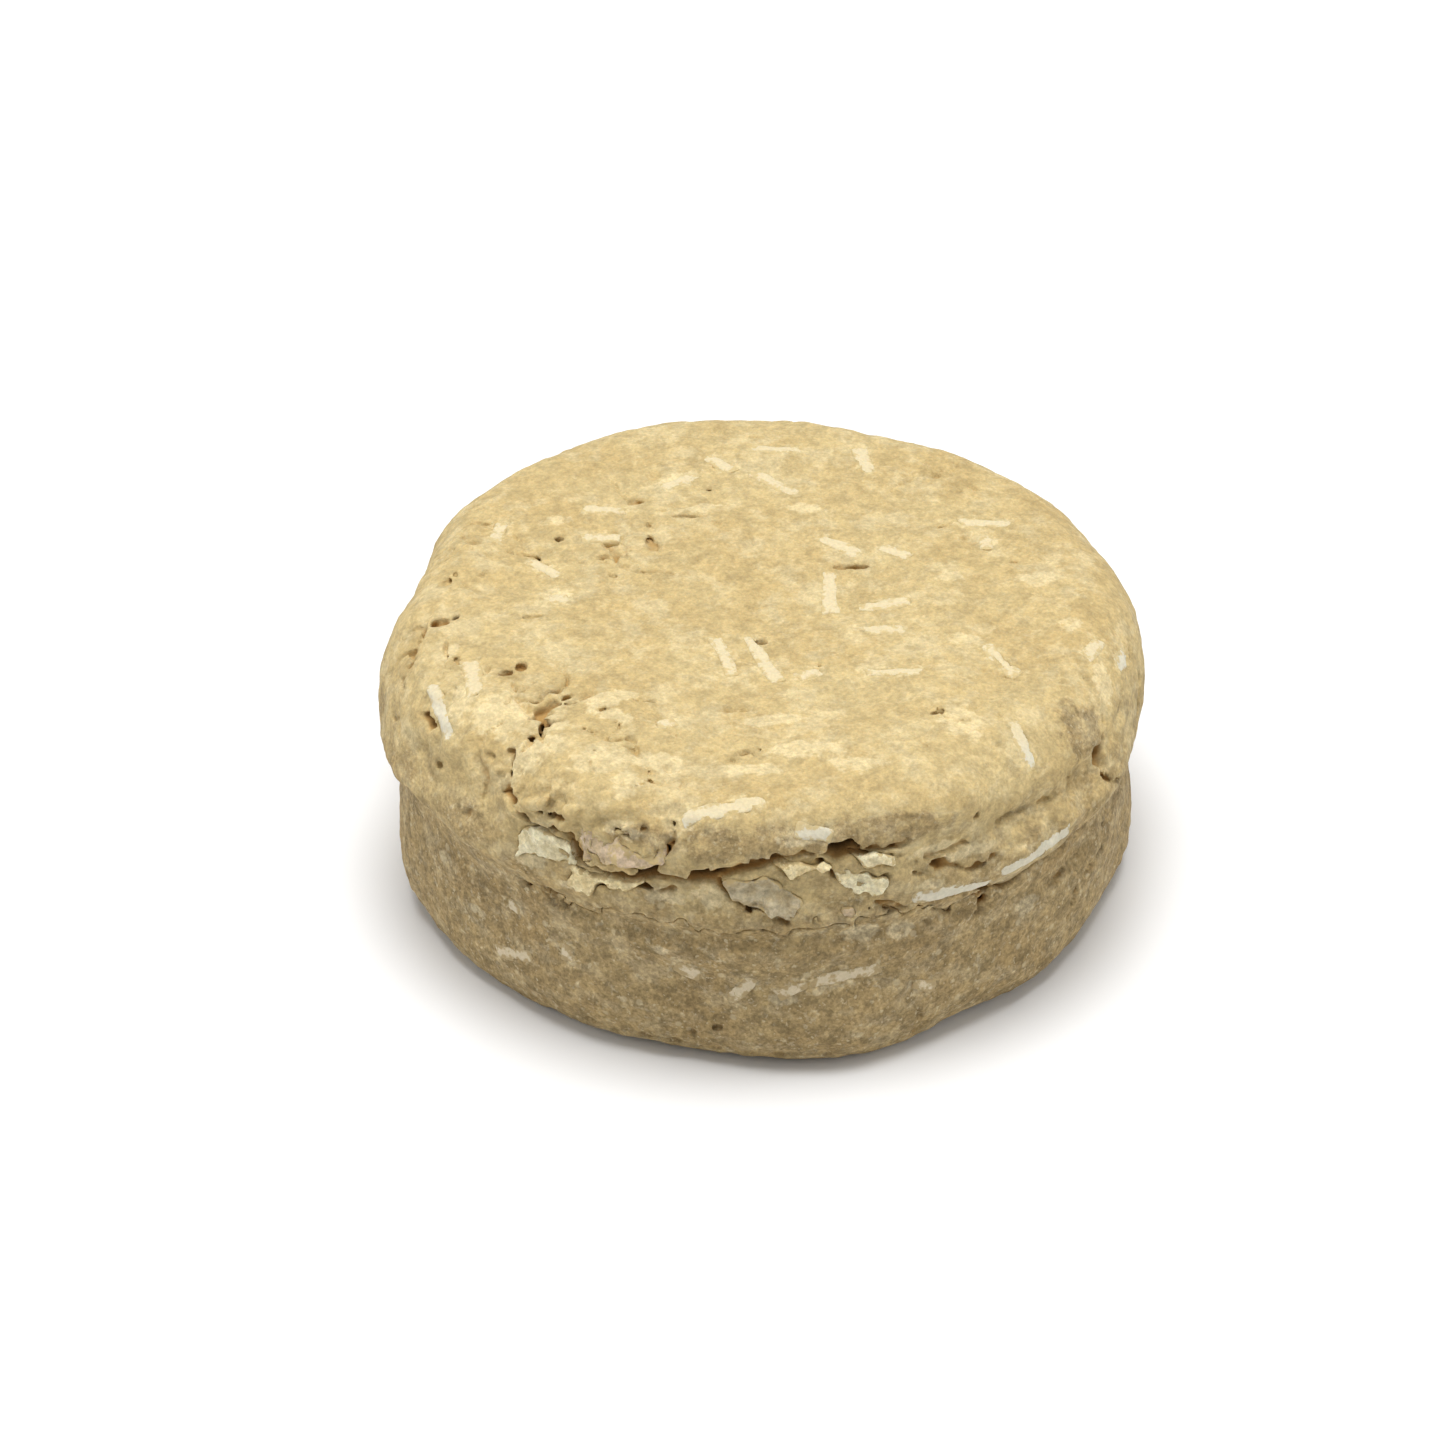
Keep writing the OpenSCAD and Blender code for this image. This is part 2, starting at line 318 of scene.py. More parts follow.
# Broad swellings, and hollows where out is below 0: (angle, height, half width, half height, out).
TOP_SWELLS = [
    (-92, 16, 17, 2.2, 0.85), (-148, 22.5, 4, 2, -0.8), (-138, 23, 3, 1.6, -0.6),
    (-155, 18.5, 7, 1.5, 0.5), (-135, 18.5, 5, 1.8, 0.5), (-120, 26.5, 4, 2, 0.5),
    (-127, 24.8, 2.5, 1.5, 0.5), (-104, 24.5, 4, 2, 0.3), (-60, 23, 6, 1.6, -0.5),
    (-48, 22, 5, 1.5, -0.9), (-36, 22, 3, 1.5, -0.8), (-30, 18.5, 6, 2, 0.7), (-50, 18, 5, 1.5, 0.5),
    (-12, 21, 3, 3.5, -0.4), (-60, 26.5, 5, 1.5, 0.4), (100, 21, 8, 3, 0.4), (65, 27, 9, 2.5, -0.3),
    (120, 27, 6, 2.5, -0.3),
]
BASE_SWELLS = [
    (-92, 14.6, 17, 3.2, 1.45), (-124, 1.5, 8, 3, -0.5), (-58, 1.5, 6, 3, -0.6), (-28, 10, 6, 3, 0.5),
    (-36, 12.5, 3, 1.5, -0.5), (-48, 12.5, 3, 1.5, -0.5), (-140, 13.5, 5, 1.2, -0.5),
    (-75, 6, 8, 3, 0.2), (-150, 7, 8, 3, 0.3),
]
# Broad unevenness of the top face: (x, y, radius, up).
TOP_FACE_SWELLS = [
    (0, -4, 12, -0.35), (-14, -23, 7, 0.3), (17, -19, 4.5, 0.35), (10, 15, 9, 0.25), (-20, 8, 5, -0.3),
    (24, 2, 5, 0.3), (-4, 25, 7, 0.3), (15, -25, 4, 0.3),
]
# Where the round face is crumbly: (angle, height, half width, half height, amount).
TOP_CRUMBLY = [
    (-92, 18.6, 19, 2.6, 0.45), (-122, 26, 8, 3, 0.55), (-103, 26, 6, 2, 0.35), (-150, 25.5, 8, 3, 0.4),
    (-50, 20.5, 8, 3, 0.35), (-28, 22, 6, 3, 0.35), (60, 22, 14, 3, 0.2), (150, 20, 14, 3, 0.2),
]
BASE_CRUMBLY = [
    (-92, 15, 19, 1.8, 0.4), (-40, 13, 8, 3, 0.2), (60, 13, 14, 3, 0.2),
]

# The crack across the front, widest where its last number is largest: (angle, height, half width).
CRACK = [(-132, 24, 0.1), (-130, 24, 0.3), (-127.5, 23.2, 0.35), (-125, 23.4, 0.4), (-121, 23.3, 0.3),
         (-119.5, 24, 0.3), (-117.5, 23.7, 0.45), (-117, 21.2, 0.5), (-115.5, 20.8, 0.3),
         (-111, 20.8, 0.35), (-107, 21.2, 0.45), (-105, 22, 0.8), (-103, 21.8, 0.7), (-101, 21.4, 0.75),
         (-97.6, 21.9, 0.75), (-94, 22.8, 0.4), (-88, 23.7, 0.3), (-84, 23.9, 0.3), (-80.5, 24.1, 0.5),
         (-78.5, 24.2, 0.9), (-76, 24.3, 0.4), (-70, 23.4, 0.1)]
CRACK_DEPTH = 5.0
# Lesser cracks and creases in the upper lift: (route of (angle, height), half width, depth).
TOP_CRACKS = [
    ([(-97.6, 21.8), (-95.7, 20.5), (-92.7, 19.2), (-91, 18.8)], 0.4, 3),
    ([(-107, 21), (-105.5, 19.6), (-103.5, 19.9)], 0.25, 1.5),
    ([(-128, 23), (-127.5, 21.4)], 0.25, 1.5),
    ([(-93, 18.6), (-87, 16.8)], 0.25, 1.5),
    ([(-132.5, 26.6), (-131.5, 25.4), (-131, 24.2)], 0.35, 1.8),
    ([(-121, 24.8), (-119, 25.6), (-118, 24.4)], 0.25, 1.5),
    ([(-112.5, 24.6), (-110, 24.7), (-108, 25.3)], 0.3, 1.4),
    ([(-103.2, 26.4), (-102.4, 25.4), (-102.8, 24.6)], 0.35, 1.8),
    ([(-83, 23.2), (-80, 22.6), (-79.5, 21.6)], 0.3, 1.6),
    ([(-80, 21.6), (-77, 21.3), (-74, 20.4)], 0.25, 1.4),
    ([(-72, 22.8), (-66, 22.2), (-60, 22), (-52, 22.5), (-44, 21.8), (-38, 22.4)], 0.25, 0.7),
    ([(-72, 17.4), (-66, 16.9), (-60, 16.5), (-54, 15.4)], 0.2, 0.8),
    ([(-68, 20.8), (-62, 19.8), (-58, 19.2), (-55, 20)], 0.25, 1),
    ([(-26, 24.5), (-29, 22.6), (-30.5, 20.8), (-28, 18.6), (-22, 17.2)], 0.25, 1.2),
    ([(-8, 25), (-10, 21.5), (-14, 19)], 0.2, 0.8),
    ([(60, 24), (66, 22), (74, 21.5), (80, 19.5)], 0.3, 1.6),
    ([(140, 23), (148, 21.5), (155, 22)], 0.25, 1.3),
    ([(100, 19.5), (110, 18.5), (118, 19.2)], 0.25, 1.1),
]
BASE_CRACKS = [
    ([(-118, 2.4), (-108, 1.8), (-98, 2), (-86, 1.6)], 0.25, 0.5),
    ([(-22, 13.5), (-28, 10), (-34, 10), (-36, 6.5)], 0.25, 0.8),
    ([(-66, 5), (-66, 3), (-68, 1.5)], 0.3, 0.7),
    ([(40, 8), (48, 6.5), (55, 7.5)], 0.25, 1),
    ([(120, 10), (128, 9), (133, 10.5)], 0.25, 1),
]
# Holes in the round faces: (angle, height, half length, half height, depth).
TOP_HOLES = [
    (-30.5, 22.3, 0.6, 1.2, 2.4), (-38.8, 22.9, 0.4, 0.3, 0.9), (-38.5, 21.4, 0.4, 0.3, 1),
    (-65, 20.8, 0.8, 0.4, 1.4), (-55.5, 19.8, 0.4, 0.3, 0.9), (-72.3, 18.1, 0.9, 0.4, 1.8),
    (-91.5, 18.9, 0.9, 0.4, 1.6), (-122.5, 16, 0.6, 0.6, 1.8), (-55.5, 15.6, 0.5, 0.9, 2),
    (-123.4, 25, 0.5, 0.3, 1.2), (-119, 25.2, 0.4, 0.4, 1.2), (-131.7, 25.4, 0.5, 0.7, 1.8),
    (-132.8, 26.9, 0.3, 0.3, 0.8), (-151, 25.2, 1, 0.4, 1.6), (-148.5, 25.6, 0.4, 0.3, 1),
    (-78.6, 24.3, 1.1, 0.7, 3.2), (-104, 21.4, 0.9, 0.7, 2.6), (-97.5, 21.6, 0.8, 0.6, 2.8),
    (-102.6, 25.8, 0.3, 0.6, 1.2), (-103.8, 24.2, 0.5, 0.3, 0.9), (-92.5, 27.6, 0.3, 0.5, 0.7),
    (-59, 26.7, 0.6, 0.25, 0.5), (40, 21, 0.8, 0.5, 1.2), (95, 23.5, 0.6, 0.6, 1.2),
    (165, 19.5, 0.9, 0.4, 1.2),
]
BASE_HOLES = [
    (-122.7, 15, 0.6, 0.6, 1.6), (-55.4, 14.4, 0.6, 0.8, 1.8), (-39, 12, 0.8, 0.4, 0.8),
    (-93, 14.2, 0.8, 0.25, 0.6), (70, 9, 0.7, 0.5, 1), (150, 12, 0.6, 0.4, 1),
]
# Pits in the top face: (x, y, half length, half width, yaw, depth).
TOP_PITS = [
    (-19, 9, 0.4, 0.35, 0, 1), (-29, 7.5, 1.2, 0.3, 60, 0.7), (-27.5, 9.5, 0.4, 0.3, 0, 0.6),
    (-22, 8, 0.8, 0.3, -60, 0.6), (-20.5, 6.7, 0.7, 0.25, 10, 0.6), (-14.5, 6, 0.8, 0.35, 20, 0.8),
    (-12, 4.7, 0.6, 0.3, 0, 0.6), (-27, 1, 0.4, 0.35, 70, 0.9), (-29, -4.8, 0.7, 0.5, 20, 1.2),
    (-27.6, -4, 0.5, 0.3, 60, 0.8), (-21, -4, 0.9, 0.25, 15, 0.5), (-6.5, 12.5, 1.4, 0.2, 0, 0.5),
    (-4.3, 11.5, 0.3, 0.3, 0, 0.5), (-2.5, 4.3, 0.4, 0.3, 0, 0.5), (-0.2, -7.3, 0.35, 0.3, 0, 1),
    (-22.8, -13, 0.6, 0.4, 20, 0.8), (-21.4, -12.2, 0.4, 0.5, 0, 0.8),
    (-24.3, -12.5, 0.5, 0.3, 60, 0.7), (-23.7, -20.2, 0.8, 0.4, 0, 0.5),
    (-4, -24.8, 0.8, 0.25, -25, 0.6), (-1.5, -24.8, 0.8, 0.25, 35, 0.6),
    (-2.6, -26, 0.6, 0.25, 90, 0.6), (-10, -17.7, 0.7, 0.2, 0, 0.4), (-2.5, -18.5, 1.5, 0.2, 0, 0.35),
    (8, 4.4, 1.3, 0.3, 5, 0.9), (16.7, 11.3, 0.8, 0.2, 30, 0.4), (16.3, 20.2, 0.8, 0.3, 60, 0.6),
    (19.8, 18.3, 0.7, 0.25, -50, 0.5), (5, -11.6, 0.22, 0.22, 0, 0.8), (15, -19.8, 1, 0.25, 30, 0.6),
    (17.5, -25, 1, 0.25, -20, 0.5), (23, 5, 0.6, 0.25, 0, 0.5), (-12, 15.5, 0.6, 0.25, 40, 0.5),
]
# Where the top face is broken by short jagged crevices: (x, y, radius, depth).
TOP_BROKEN = [
    (-20, -13, 4, 0.5), (-17, -18.5, 4, 0.5), (-22, -21, 5, 0.6), (-12, -26, 5, 0.6),
    (-3.5, -26, 4, 0.5), (-19, 7, 4, 0.5), (-13, 6, 3, 0.5), (-28, 6, 4, 0.5), (-29, -6, 3, 0.6),
    (-30, -12, 4, 0.5), (-8, 3, 4, 0.3), (-12, 16, 4, 0.4), (17, -22, 4, 0.4), (8, 5, 3, 0.3),
    (16, 19, 4, 0.4), (25, -3, 3, 0.3),
]
# Creases in the top face: (route of (x, y), half width, depth).
TOP_FACE_CRACKS = [
    ([(-19.6, -19.6), (-18.6, -18.4), (-17.6, -17.6), (-16.6, -17.6), (-15.4, -16.8)], 0.3, 1),
    ([(-26, 12), (-23, 9.5), (-20.5, 6.5), (-17, 5.2), (-12, 4.4), (-8, 3.4)], 0.15, 0.5),
    ([(17, -13.5), (21, -14.5), (26, -14), (30, -11)], 0.15, 0.4),
    ([(15.5, -19), (17, -22), (20, -23.5)], 0.15, 0.4),
    ([(-14, -22), (-11, -24.5), (-9, -28)], 0.2, 0.5),
    ([(-22, -16), (-19, -21), (-20, -24)], 0.2, 0.5),
]
# Pale patches in the upper lift, as seen from above: (x, y, half length, half width, yaw).
TOP_PALE = [
    (-20.5, 4.5, 1.8, 0.7, -40), (-18.6, -0.5, 1.2, 1.2, 0), (-8, 19.5, 2.4, 0.6, 30),
    (-19.3, 11.8, 1.4, 0.7, 20), (-13.4, -17.3, 2.2, 1.2, 10), (-13.5, -19.8, 2.2, 0.8, -30),
    (-18.8, -21, 1.6, 1.4, 0), (1, -20.2, 2.8, 0.7, 5), (3.6, -24.6, 3.4, 1.2, 0),
    (-14.4, -26.7, 2.2, 1.6, 10), (-22.5, -19.5, 3, 2.2, -45), (-9, -26.5, 2.4, 1.2, -10),
    (-19.7, -24.7, 2.4, 1.4, 20), (-11.7, -29.6, 1.2, 1.6, 0), (17.3, -21, 1.6, 2.4, 20),
    (17, 2.4, 1, 1, 0), (20.5, 8.8, 1, 1, 0), (27.5, -5.4, 1, 0.9, 0), (30, -11.6, 0.9, 1.6, 0),
    (-27.9, -9.3, 0.9, 0.8, 0), (-26.7, -17.1, 0.9, 1.8, 0), (25, 2, 1.6, 1, 30),
    (18, -7.8, 1.6, 0.8, -20), (-1, -27.5, 2.6, 0.8, 0), (8, -27, 2.4, 0.9, 0), (-6, 14, 1.8, 0.7, 20),
    (4, 14, 1.6, 0.8, -10),
]
# Pale patches in the round faces: (angle, height, half length, half height).
WALL_PALE = [
    (-97, 19.9, 1.6, 1.2), (-104, 19.3, 1.8, 0.8), (-110, 25.4, 1.6, 0.7), (-85, 25.6, 1.8, 0.6),
    (-65, 22.4, 2, 0.6), (-60, 21, 2.4, 0.6), (-125, 19.4, 1.6, 0.9), (-88, 18.4, 1.3, 0.6),
    (-118, 18, 1.2, 0.5), (-66, 19.2, 1.2, 0.5), (-76, 15.2, 1.6, 0.9), (-70, 14.4, 1.2, 0.7),
    (-47, 11.4, 1.2, 0.9), (-139, 8.8, 1, 0.5), (-130, 11.7, 1, 0.5), (-147, 11.9, 0.8, 0.8),
    (-105, 13, 0.9, 0.5), (-87, 8.6, 1.3, 0.5), (30, 20, 2, 0.8), (80, 18, 1.8, 0.8), (130, 20, 2, 0.9),
]
# Patches of painted shade in the round faces, under the front brow and the left lip where the face turns away
# from the light, painted in the wall's brown. Same form.
WALL_SHADE_PATCHES = [
    (-88, 25.2, 8, 1.5), (-74, 25.2, 6, 1.5), (-106, 25, 4, 1), (-137, 20, 3, 1.5), (-33, 25, 3, 2),
]


def arc_between(angle, start):
    """How far round the rim angle is from start, in mm."""
    return np.radians((angle - start + 180) % 360 - 180) * ARC_R


def front_share(angle):
    """1 across the cracked front and 0 round the rest."""
    return eased((24 - np.abs(arc_between(angle, -93))) / 6)


def fullness(angle):
    """The power of the shoulder's curve: 2 is an ellipse, and more is boxier."""
    return (2 + 1.6 * front_share(angle)).astype(np.float32)


def surface_point(angle, z):
    """The point of the plain puck's round face at an angle and a height."""
    r = float(wall_r(angle))
    if z > SEAM_Z:
        power = float(fullness(np.float32(angle)))
        lift = max(z - RIM_Z, 0) / (PUCK_H - RIM_Z)
        share = (1 - min(lift, 1) ** power) ** (1 / power)
        r = float(top_flat_r(angle) + share * (rim_r(angle) - top_flat_r(angle)))
    a = math.radians(angle)
    return np.array([r * math.cos(a), r * math.sin(a), z])


def polar(x, y):
    return np.degrees(np.arctan2(y, x)), np.hypot(x, y)


def seam_height(clay):
    """Height of the face where the two lifts meet."""
    angle, r = polar(clay.x, clay.y)
    angles, heights = zip(*SEAM_ROUTE)
    edge = np.interp(angle, angles, heights, period=360).astype(np.float32)
    front = front_share(angle)
    stray = (0.25 + 0.6 * front) * clay.wobble + (0.2 + 0.6 * front) * clay.ragged
    return SEAM_Z + (edge - SEAM_Z) * eased((r - 20) / 10) + stray * eased((r - 26) / 4)


def bump(clay, angle, z, half_width, half_height):
    """A bump on the round face: the cells it takes in, and its height from 0 to 1 in each."""
    centre = surface_point(angle, z)
    cuts, x, y, z_here = clay.window(centre, 2.5 * max(half_width, half_height))
    angle_here, r = polar(x, y)
    spread = (arc_between(angle_here, angle) / half_width) ** 2 + ((z_here - z) / half_height) ** 2
    return cuts, np.exp(-spread) * eased((7 - np.hypot(centre[0], centre[1]) + r) / 4)


def swell(clay, swells):
    for angle, z, half_width, half_height, out in swells:
        cuts, share = bump(clay, angle, z, half_width, half_height)
        clay.d[cuts] -= out * share


def crumble(clay, places):
    """Coarse crumbs with sharp creases between them."""
    crumbs = 0.5 * np.abs(clay.noise((1.9, 1.9, 1.3), 31)) + 0.5 * np.abs(clay.noise(1.0, 32))
    crumbs += 0.25 * np.abs(clay.noise(0.6, 33)) - 0.95
    for angle, z, half_width, half_height, amount in places:
        cuts, share = bump(clay, angle, z, half_width, half_height)
        clay.d[cuts] -= amount * share * crumbs[cuts]


def rough_skin(clay):
    """Lumps and creases all over, from 7 mm across down to 2 mm."""
    clay.d += 0.15 * clay.noise(7, 11) + 0.08 * clay.noise(3.2, 12)
    crease = np.abs(clay.noise(3.6, 13))
    where = eased(clay.noise(9, 14) - 0.1)
    clay.d += 0.15 * where * eased(1 - crease / 0.22)


def grain(clay, pitted):
    """Pores, most where pitted is near 1, and grain down to what the grid can hold."""
    where = eased(clay.noise(8, 16) + 1.6 * pitted - 0.6)
    pores = eased((clay.noise(0.8, 15) - 1.9) / 0.4) * where
    clay.d += 0.6 * pores + 0.05 * clay.ragged + 0.03 * clay.noise((1.4, 1.4, 0.5), 18)


def route_distance(u, v, route):
    """Distance from (u, v) to a polyline, and how far along it the nearest point is, in its indices."""
    best = np.full(np.broadcast(u, v).shape, 1e3, np.float32)
    along = np.zeros_like(best)
    for k, ((u0, v0), (u1, v1)) in enumerate(zip(route, route[1:])):
        du, dv = u1 - u0, v1 - v0
        t = np.clip(((u - u0) * du + (v - v0) * dv) / (du * du + dv * dv), 0, 1)
        distance = np.hypot(u - u0 - t * du, v - v0 - t * dv)
        nearer = distance < best
        best = np.where(nearer, distance, best)
        along = np.where(nearer, k + t, along)
    return best, along


def dig_crack(clay, cuts, u, v, route, half_width, depth):
    """Digs a tapering, ragged crack along a route in (u, v), as deep as depth below the skin."""
    stray = clay.wobble[cuts]
    ragged = 0.25 * clay.ragged[cuts]
    distance, along = route_distance(u + stray, v + 0.6 * stray + ragged, route)
    width = np.interp(along, range(len(route)), np.broadcast_to(half_width, len(route))).astype(np.float32)
    taper = np.clip(1 + clay.skin[cuts] / depth, 0, 1)
    gap = np.where(taper > 0, distance + ragged - width * taper, 1.0)
    clay.d[cuts] = soft_max(clay.d[cuts], -gap, DUG_FILLET)


def dig_wall_crack(clay, route, half_width, depth):
    """Digs a crack into the round face along a route of (angle, height)."""
    angle, z = route[len(route) // 2]
    arcs = [float(arc_between(a, angle)) for a, _ in route]
    cuts, x, y, z_here = clay.window(surface_point(angle, z), max(np.abs(arcs)) + depth + 4)
    angle_here, _ = polar(x, y)
    flat_route = [(arc, z) for arc, (_, z) in zip(arcs, route)]
    dig_crack(clay, cuts, arc_between(angle_here, angle), z_here, flat_route, half_width, depth)


def dig_front_crack(clay):
    """Digs the crack across the front, whose width changes along it."""
    angles, heights, widths = zip(*CRACK)
    dig_wall_crack(clay, list(zip(angles, heights)), widths, CRACK_DEPTH)


def dig_hole(clay, centre, tangent, up, halves):
    """Digs a ragged ellipsoid out. halves are along tangent, up, and into the clay."""
    tangent, up = np.array(tangent, float), np.array(up, float)
    into = np.cross(tangent, up)
    cuts, x, y, z = clay.window(centre, 1.8 * max(halves))
    offset = (x - centre[0], y - centre[1], z - centre[2])
    axes = zip((tangent, up, into), halves)
    parts = [sum(o * a for o, a in zip(offset, axis)) / half for axis, half in axes]
    size = np.sqrt(sum(p * p for p in parts)) - 1
    hole = (size + 0.6 * clay.ragged[cuts]) * min(halves)
    clay.d[cuts] = soft_max(clay.d[cuts], -hole, DUG_FILLET)


def dig_wall_holes(clay, holes):
    for angle, z, half_length, half_height, depth in holes:
        a = math.radians(angle)
        tangent = (-math.sin(a), math.cos(a), 0)
        dig_hole(clay, surface_point(angle, z), tangent, (0, 0, 1), (half_length, half_height, depth))


def break_top(clay, places):
    """Digs groups of short jagged crevices into the top."""
    crevice = eased(1 - np.abs(clay.noise((1.5, 1.5, 2.5), 22) + 0.3 * clay.ragged) / 0.35)
    crevice *= eased((clay.noise((1.8, 1.8, 3), 23) + 0.1) / 0.5)
    for x, y, radius, depth in places:
        cuts, x_here, y_here, z_here = clay.window((x, y, PUCK_H), 1.6 * radius)
        near = np.exp(-((x_here - x) ** 2 + (y_here - y) ** 2) / radius**2) * eased((z_here - RIM_Z) / 4)
        clay.d[cuts] += depth * eased(2 * near) * crevice[cuts]


def dig_top_pits(clay, pits):
    for x, y, half_length, half_width, yaw, depth in pits:
        a = math.radians(yaw)
        along, across = (math.cos(a), math.sin(a), 0), (-math.sin(a), math.cos(a), 0)
        dig_hole(clay, (x, y, PUCK_H), along, across, (half_length, half_width, depth))


def lift_block(low, high):
    """The block of clay that a lift is cut from, between two heights."""
    return Clay((-BLOCK_HALF, -BLOCK_HALF, low), (BLOCK_HALF, BLOCK_HALF, high), VOXEL)


def sculpt_top():
    clay = lift_block(SEAM_Z - SEAM_MARGIN, PUCK_H + 1.5)
    angle, r = polar(clay.x, clay.y)
    wide, flat, power = rim_r(angle), top_flat_r(angle), fullness(angle)
    across = (np.maximum(r - flat, 0) / (wide - flat)) ** power
    lift = (np.maximum(clay.z - RIM_Z, 0) / (PUCK_H - RIM_Z)) ** power
    reach = across + lift + 1e-6
    mean_size = ((wide - flat) * across + (PUCK_H - RIM_Z) * lift) / reach
    shoulder = (reach ** (1 / power) - 1) * mean_size
    tuck = np.clip((clay.z - SEAM_Z) / (RIM_Z - SEAM_Z), -0.6, 1)
    lip_curve = wide - (wide - lip_r(angle)) * (1 - np.sin(np.pi / 2 * tuck))
    clay.d = np.where(clay.z > RIM_Z, shoulder, r - lip_curve).astype(np.float32)
    for x, y, radius, up in TOP_FACE_SWELLS:
        near = np.exp(-((clay.x - x) ** 2 + (clay.y - y) ** 2) / radius**2)
        clay.d -= up * near * eased((clay.z - RIM_Z) / 5)
    swell(clay, TOP_SWELLS)
    recess_under_crack(clay)
    crumble(clay, TOP_CRUMBLY)
    rough_skin(clay)
    clay.keep_skin()

    grain(clay, eased((4 - clay.x) / 16))
    dig_front_crack(clay)
    for route, half_width, depth in TOP_CRACKS:
        dig_wall_crack(clay, route, half_width, depth)
    for route, half_width, depth in TOP_FACE_CRACKS:
        cuts, x, y, _ = clay.window((*route[len(route) // 2], PUCK_H), 12)
        dig_crack(clay, cuts, x, y, route, half_width, depth)
    dig_wall_holes(clay, TOP_HOLES)
    dig_top_pits(clay, TOP_PITS)
    break_top(clay, TOP_BROKEN)
    fillet = 1.0 - 0.96 * front_share(angle)
    clay.d = soft_max(clay.d, seam_height(clay) - clay.z, fillet)
    return clay


def recess_under_crack(clay):
    """Sets the face below the crack back a little, so that the brow above stands out over it."""
    angles, heights, _ = zip(*CRACK)
    angle, r = polar(clay.x, clay.y)
    edge = np.interp(angle, angles, heights).astype(np.float32)
    beside = eased((angle - angles[0]) / 8) * eased((angles[-1] - angle) / 8) * eased((r - 26) / 3)
    clay.d += 0.4 * beside * eased((edge - clay.z + 0.3) / 0.7) * eased((clay.z - SEAM_Z - 0.5) / 3)


def meet_flush(base, top):
    """Brings the lower lift's face to meet the upper one's across the front, where no step shows."""
    cuts, x, y, z = base.window((0, -ARC_R, SEAM_Z), 26)
    angle, _ = polar(x, y)
    share = front_share(angle) * eased((z - top.low[2]) / (SEAM_Z - top.low[2]))
    here = base.d[cuts]
    above = top.at(top.skin, cell_points(x, y, z)).reshape(here.shape)
    base.d[cuts] = here + share * (above - here)


def sculpt_base(top):
    clay = lift_block(-1, SEAM_Z + SEAM_MARGIN)
    angle, r = polar(clay.x, clay.y)
    foot, wall, waist = base_r(angle), wall_r(angle), waist_r(angle)
    across = (np.maximum(r - foot, 0) / (wall - foot)) ** 2
    drop = (np.maximum(FOOT_H - clay.z, 0) / FOOT_H) ** 2
    reach = across + drop + 1e-6
    rounded = (np.sqrt(reach) - 1) * ((wall - foot) * across + FOOT_H * drop) / reach
    rise = eased((clay.z - FOOT_H) / (SEAM_Z - FOOT_H))
    clay.d = np.where(clay.z < FOOT_H, rounded, r - wall - (waist - wall) * rise).astype(np.float32)
    swell(clay, BASE_SWELLS)
    crumble(clay, BASE_CRUMBLY)
    rough_skin(clay)
    meet_flush(clay, top)
    clay.d = np.maximum(clay.d, -clay.z)
    clay.keep_skin()

    grain(clay, np.float32(0.3))
    for route, half_width, depth in BASE_CRACKS:
        dig_wall_crack(clay, route, half_width, depth)
    dig_wall_holes(clay, BASE_HOLES)
    fillet = 0.6 - 0.56 * front_share(angle)
    clay.d = soft_max(clay.d, clay.z - seam_height(clay) + 0.05, fillet)
    clay.d = np.maximum(clay.d, -clay.z)
    return clay


# ---------------------------------------------------------------- noodles and flakes

NOODLE_VOXEL = 0.14
FLAKE_VOXEL = 0.14
# How far in from a flake's edge it is stained by the paste.
FLAKE_FADE = 0.45
# How deep a noodle's axis lies below the skin, as a share of its radius.
SINK_SHARE = 0.5
# Noodles below this height are half lost in the wall's paste.
FAINT_BELOW = 14.0
# Noodles with a longer half than this are clean.
CLEAN_HALF = 3.6


def laid(lift, rod):
    """A CAD rod shifted square to the sculpted skin, so that both its ends are sunk as deep as in the CAD."""
    middle, axis, half, radius = rod
    out = lift.way_out(middle)
    ends = np.array([middle - 0.7 * half * axis, middle + 0.7 * half * axis])
    ends -= (lift.at(lift.skin, ends) + SINK_SHARE * radius)[:, None] * out
    run = ends[1] - ends[0]
    return ends.mean(axis=0), run / np.linalg.norm(run), half, radius


def across_rod(lift, middle, axis):
    """The direction along the skin, square to a rod."""
    side = np.cross(lift.way_out(middle), axis)
    return side / np.linalg.norm(side)


def dig_sockets(lift, rods):
    """Digs the noodles' sockets, less wide than they are, so that ragged paste laps over their edges."""
    for middle, axis, half, radius in rods:
        cuts, x, y, z = lift.window(middle, half + 1)
        offset = (x - middle[0], y - middle[1], z - middle[2])
        along = sum(o * a for o, a in zip(offset, axis))
        across = sum(o * a for o, a in zip(offset, across_rod(lift, middle, axis)))
        off = np.hypot(across, lift.skin[cuts] + SINK_SHARE * radius)
        lap = 0.35 + 0.12 * lift.ragged[cuts]
        socket = np.maximum(off - radius, np.abs(along) - half) + lap
        lift.d[cuts] = np.maximum(lift.d[cuts], -socket)


